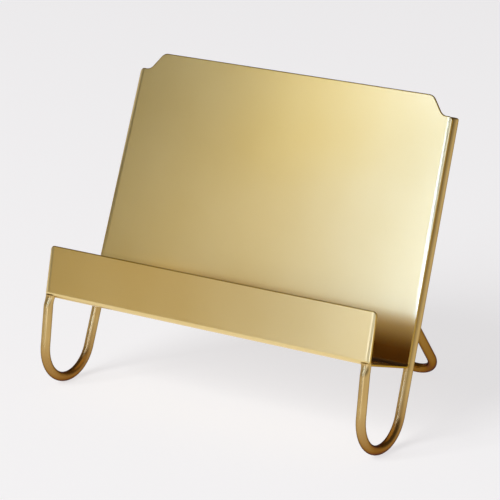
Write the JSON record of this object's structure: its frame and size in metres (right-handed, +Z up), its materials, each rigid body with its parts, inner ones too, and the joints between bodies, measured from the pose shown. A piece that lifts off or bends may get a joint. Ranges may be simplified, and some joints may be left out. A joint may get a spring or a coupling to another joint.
{
  "type": "photo album stand",
  "caption": "Tabletop stand of bent brass-finished sheet: a leaning back panel with clipped corners, a sloping shelf and a front lip, carried on hairpin rod feet.",
  "frame": {"origin": "middle of the footprint, at table height", "axes": "+X to the right as seen from the front, +Y towards the back, +Z up"},
  "size_m": [0.28, 0.1956, 0.2314],
  "materials": {
    "brushed_brass": "finely brushed satin brass, lacquered",
    "rod_brass": "smooth satin brass, a little deeper than the sheet",
    "weld_brass": "small weld beads under the brass finish"
  },
  "bodies": {
    "root": {"bent_sheet": "brushed_brass", "side_rod_left": "rod_brass", "rear_leg_left": "rod_brass", "side_rod_right": "rod_brass", "rear_leg_right": "rod_brass", "weld_corner_left": "weld_brass", "weld_side_left_1": "weld_brass", "weld_side_left_2": "weld_brass", "weld_side_left_3": "weld_brass", "weld_rear_left_inner_a": "weld_brass", "weld_rear_left_inner_b": "weld_brass", "weld_rear_left_outer_a": "weld_brass", "weld_rear_left_outer_b": "weld_brass", "weld_corner_right": "weld_brass", "weld_side_right_1": "weld_brass", "weld_side_right_2": "weld_brass", "weld_side_right_3": "weld_brass", "weld_rear_right_inner_a": "weld_brass", "weld_rear_right_inner_b": "weld_brass", "weld_rear_right_outer_a": "weld_brass", "weld_rear_right_outer_b": "weld_brass"}
  },
  "joints": []
}
